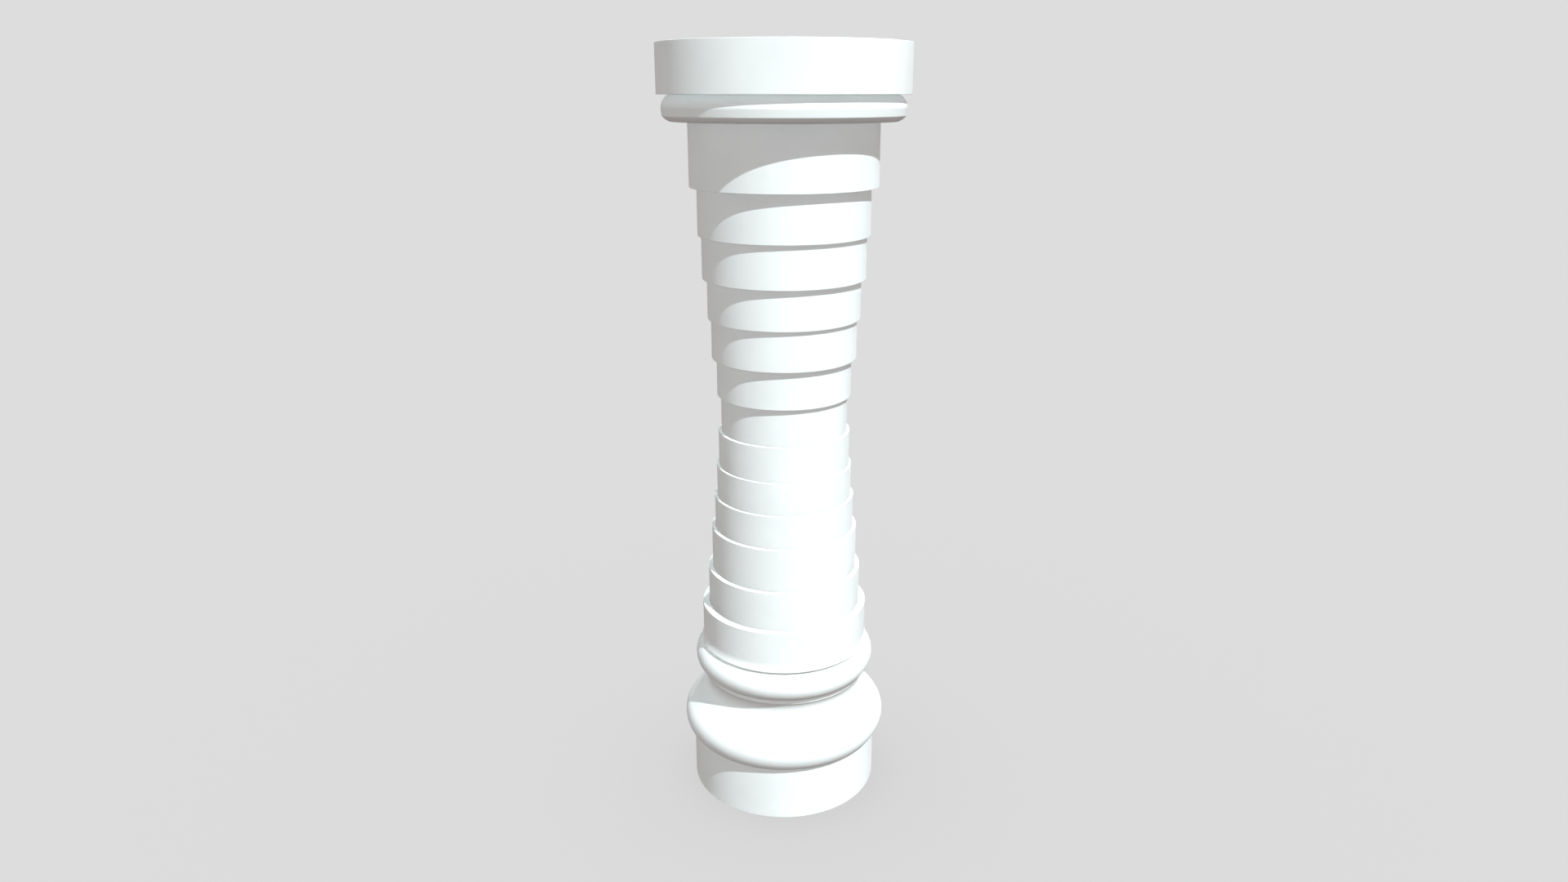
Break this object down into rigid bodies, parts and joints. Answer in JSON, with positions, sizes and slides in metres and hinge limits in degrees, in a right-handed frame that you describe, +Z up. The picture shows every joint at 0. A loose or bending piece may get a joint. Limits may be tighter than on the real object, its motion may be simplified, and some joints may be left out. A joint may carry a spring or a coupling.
{
  "type": "pillar",
  "caption": "Round white stone pillar: plinth disc, base moulded with tori, stepped shaft of stacked drums that narrows to a waist, rounded necking ring and round abacus.",
  "frame": {"origin": "middle of the plinth's underside, on the pillar's axis", "axes": "+Z up along the pillar's axis of revolution, which is also its longest extent; every direction round the axis is alike"},
  "size_m": [0.928, 0.928, 3],
  "materials": {
    "stone": "fine white stone, rubbed smooth, satin"
  },
  "bodies": {
    "root": {"plinth": "stone", "base_block": "stone", "drum_01": "stone", "drum_02": "stone", "drum_03": "stone", "drum_04": "stone", "drum_05": "stone", "drum_06": "stone", "drum_07": "stone", "drum_08": "stone", "drum_09": "stone", "drum_10": "stone", "drum_11": "stone", "drum_12": "stone", "drum_13": "stone", "necking_ring": "stone", "abacus": "stone"}
  },
  "joints": []
}
